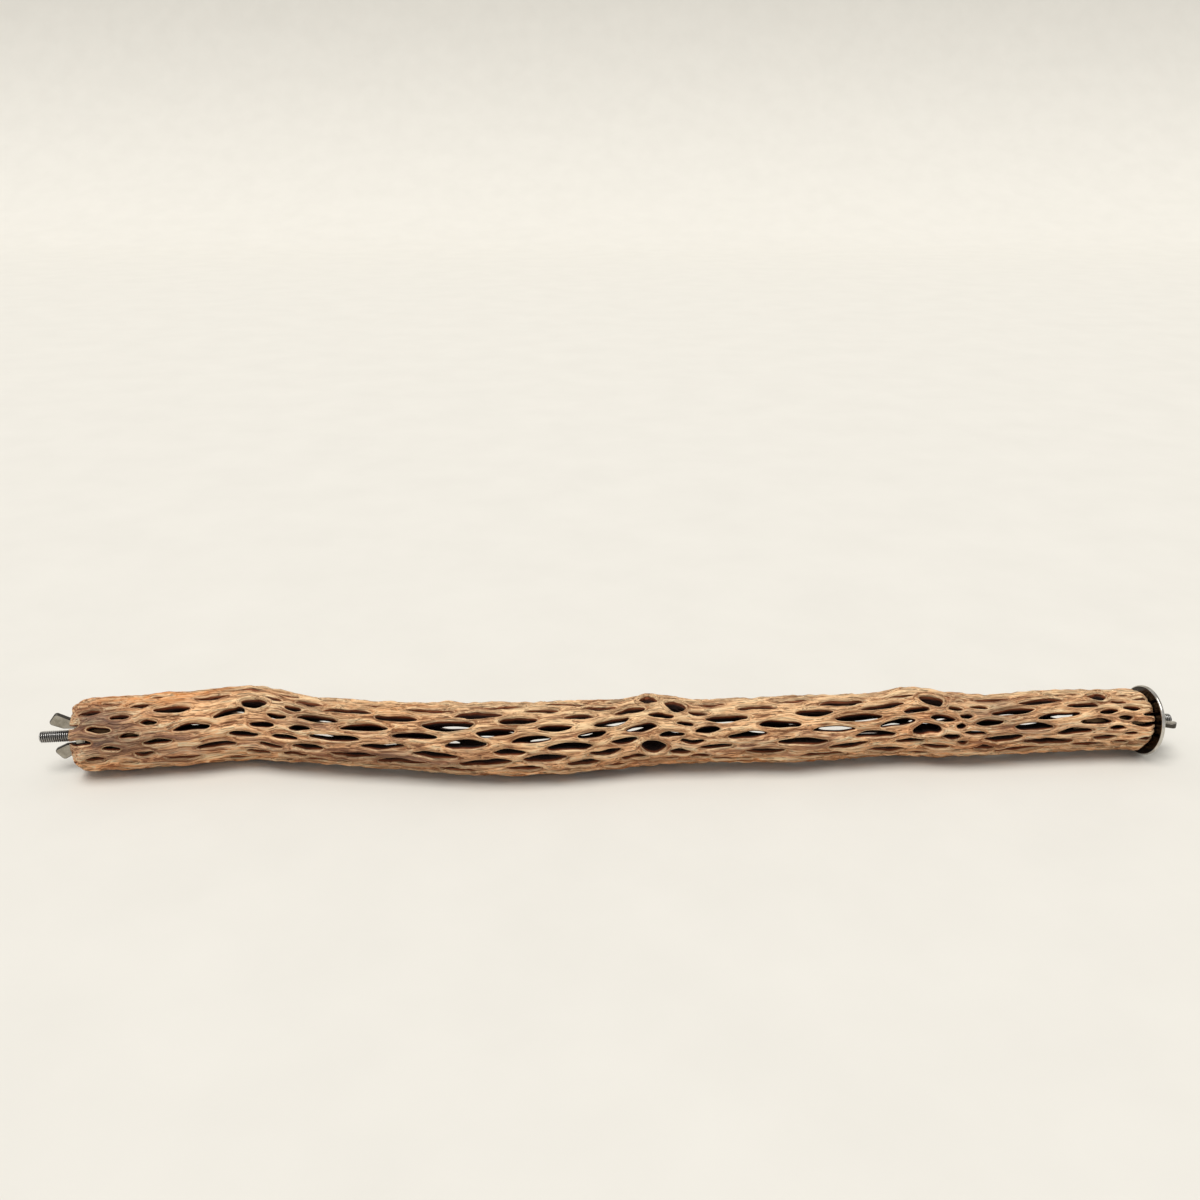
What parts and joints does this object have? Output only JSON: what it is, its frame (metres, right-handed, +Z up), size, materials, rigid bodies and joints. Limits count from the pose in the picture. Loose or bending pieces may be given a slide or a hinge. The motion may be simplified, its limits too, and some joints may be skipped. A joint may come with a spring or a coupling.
{
  "type": "cactus skeleton perch",
  "caption": "Hollow net of dried cholla cactus wood lying on a surface, made into a perch, with a threaded stud, a washer and a wing nut at each end.",
  "frame": {"origin": "middle of the whole object's box in plan, at the height of the surface it lies on", "axes": "+X along the branch from its thicker left end to its thinner right end, +Z up, so -Y is the front"},
  "size_m": [0.4596, 0.0467, 0.0312],
  "materials": {
    "cholla_wood": "dry bare wood, fibrous and weathered, tan with grey and brown patches",
    "plug_wood": "plain sanded hardwood",
    "stud_steel": "plated steel with a fine thread",
    "zinc_steel": "satin zinc-plated steel"
  },
  "bodies": {
    "stick": {"cholla_wood": "cholla_wood", "left_plug": "plug_wood", "right_plug": "plug_wood", "left_stud": "stud_steel", "right_stud": "stud_steel"},
    "left_washer": {"left_washer": "zinc_steel"},
    "left_nut": {"left_wing_nut": "zinc_steel"},
    "right_washer": {"right_washer": "zinc_steel"},
    "right_nut": {"right_wing_nut": "zinc_steel"}
  },
  "joints": [
    {"name": "left_washer_slide", "type": "slide", "parent": "stick", "child": "left_washer", "axis": [-0.9925, -0.1219, 0], "range_m": [0, 0.0138]},
    {"name": "left_nut_turn", "type": "hinge", "parent": "left_washer", "child": "left_nut", "pos_m": [-0.2151, -0.00588, 0.0155], "axis": [-0.9925, -0.1219, 0], "range_deg": [0, 6215]},
    {"name": "right_washer_slide", "type": "slide", "parent": "stick", "child": "right_washer", "axis": [0.9889, 0.139, -0.0523], "range_m": [0, 0.0065]},
    {"name": "right_nut_turn", "type": "hinge", "parent": "right_washer", "child": "right_nut", "pos_m": [0.2166, 0.00904, 0.01438], "axis": [0.9889, 0.139, -0.0523], "range_deg": [0, 2930]}
  ],
  "couplings": [
    {"joint": "left_nut_turn", "follows": "left_washer_slide", "rad_per_m": 7854},
    {"joint": "right_nut_turn", "follows": "right_washer_slide", "rad_per_m": 7854}
  ]
}
